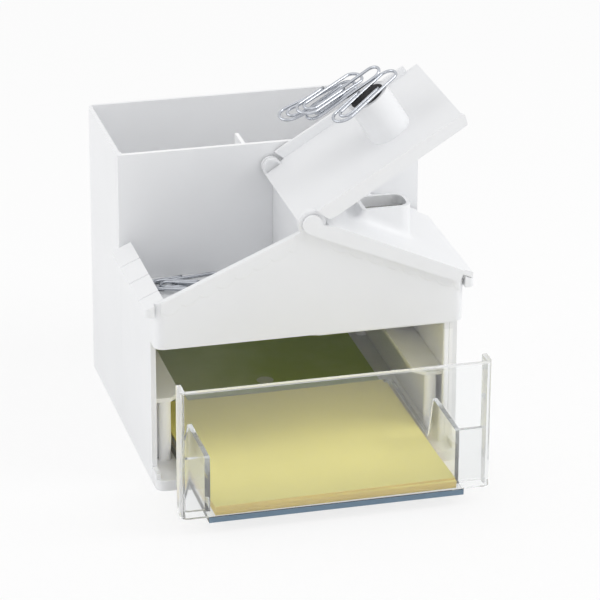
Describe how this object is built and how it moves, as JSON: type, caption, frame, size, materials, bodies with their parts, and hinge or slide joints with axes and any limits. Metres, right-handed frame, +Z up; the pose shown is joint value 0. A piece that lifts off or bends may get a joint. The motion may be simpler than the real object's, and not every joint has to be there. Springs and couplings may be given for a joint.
{
  "type": "desk organizer with tape dispenser and drawer",
  "caption": "White house-shaped desk organizer with a pen box, magnetic paper-clip lid, tape dispenser with chimney outlet, and a clear drawer holding a yellow note pad.",
  "frame": {"origin": "middle of the underside of the body, on the desk", "axes": "+X to the right, +Y to the back (the pen box), +Z up; the drawer pulls out along -Y"},
  "size_m": [0.1044, 0.1335, 0.1224],
  "materials": {
    "white_plastic": "satin white moulded plastic",
    "clear_plastic": "clear polished plastic",
    "note_paper": "matt pale yellow paper",
    "clip_wire": "bright plated wire",
    "steel": "plain steel",
    "magnet_black": "black ferrite magnet",
    "tape_film": "clear adhesive tape, wound",
    "core_card": "grey-brown card"
  },
  "bodies": {
    "housing": {"front_shell": "white_plastic", "rear_box": "white_plastic", "pen_divider": "white_plastic", "base_plate": "white_plastic", "left_drawer_guide": "white_plastic", "right_drawer_guide": "white_plastic", "guide_screws": "steel", "left_eave": "white_plastic", "right_eave": "white_plastic", "clip_tray": "white_plastic", "tape_well": "white_plastic", "clips_in_tray": "clip_wire", "front_hinge_pin": "steel", "rear_hinge_pin": "steel"},
    "clip_lid": {"clip_lid": "white_plastic", "clip_lid_ridge": "white_plastic", "lid_magnet": "magnet_black", "clips_on_magnet": "clip_wire"},
    "tape_cover": {"tape_cover": "white_plastic", "tape_tail": "tape_film", "tear_blade": "steel"},
    "tape_spool": {"tape_spindle": "white_plastic", "tape_core": "core_card", "tape_roll": "tape_film"},
    "drawer": {"drawer": "clear_plastic", "note_pad": "note_paper"}
  },
  "joints": [
    {"name": "drawer_slide", "type": "slide", "parent": "housing", "child": "drawer", "axis": [0, -1, 0], "range_m": [-0.032, 0.02]},
    {"name": "clip_lid_hinge", "type": "hinge", "parent": "housing", "child": "clip_lid", "pos_m": [0, 0, 0.0845], "axis": [0, -1, 0], "range_deg": [0, 172]},
    {"name": "tape_cover_hinge", "type": "hinge", "parent": "housing", "child": "tape_cover", "pos_m": [0, 0, 0.0845], "axis": [0, -1, 0], "range_deg": [0, 22]},
    {"name": "tape_spool_spin", "type": "hinge", "parent": "housing", "child": "tape_spool", "pos_m": [0.02785, -0.0167, 0.05261], "axis": [1, 0, 0], "continuous": true}
  ]
}
